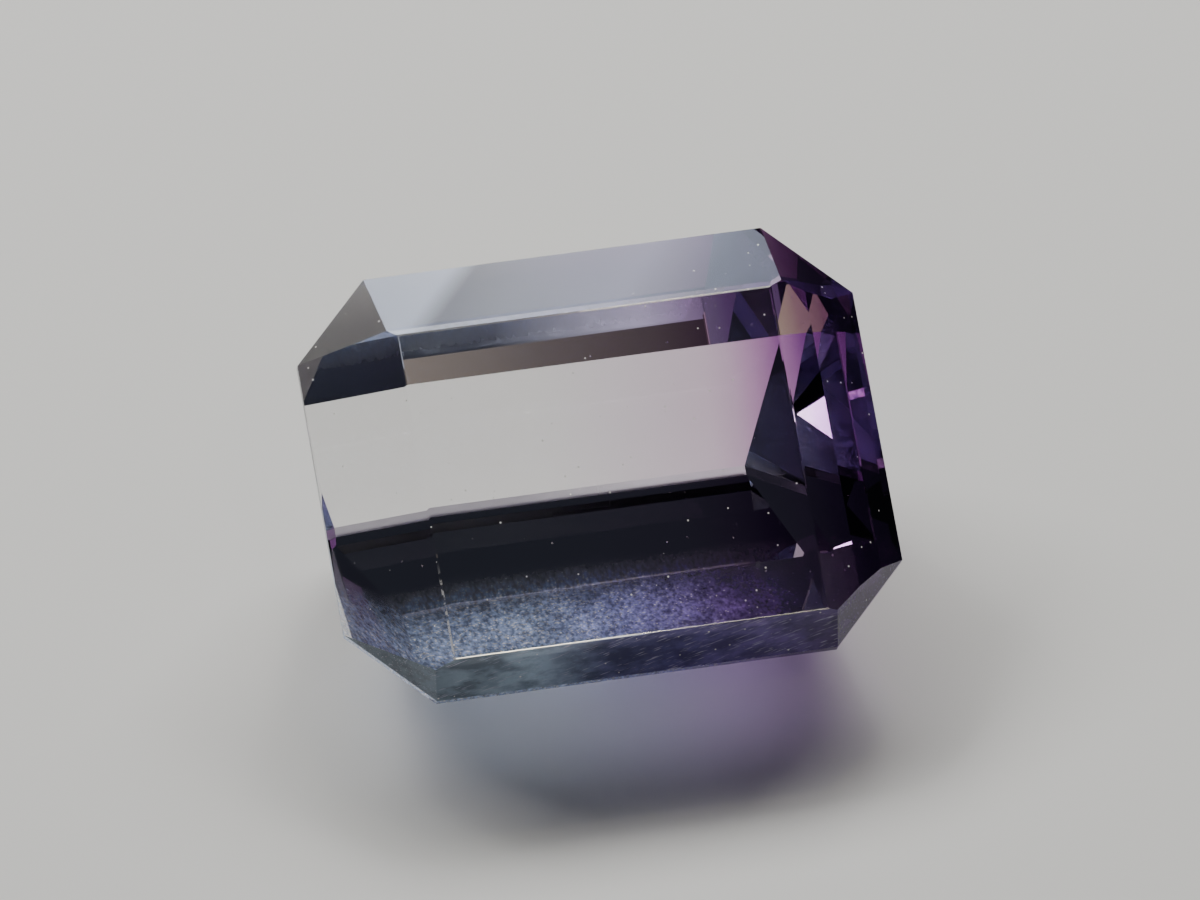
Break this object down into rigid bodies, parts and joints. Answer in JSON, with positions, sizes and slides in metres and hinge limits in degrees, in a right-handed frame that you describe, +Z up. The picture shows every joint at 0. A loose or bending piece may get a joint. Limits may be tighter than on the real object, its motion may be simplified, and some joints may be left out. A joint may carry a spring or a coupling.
{
  "type": "bicolor amethyst",
  "caption": "Step-cut bicolor amethyst gemstone, near colourless at one end and deep violet at the other, resting on a pavilion facet.",
  "frame": {"origin": "middle of the stone's footprint, on the surface it rests on", "axes": "+X along the stone's long axis, from the pale end to the violet end; +Z up, away from the facet it rests on; +Y from the low front edge of the table to the high back edge"},
  "size_m": [0.012, 0.0084, 0.007],
  "materials": {
    "amethyst": "polished clear quartz, near colourless at the -X end and deep violet at the +X end"
  },
  "bodies": {
    "root": {"bicolor_amethyst": "amethyst"}
  },
  "joints": []
}
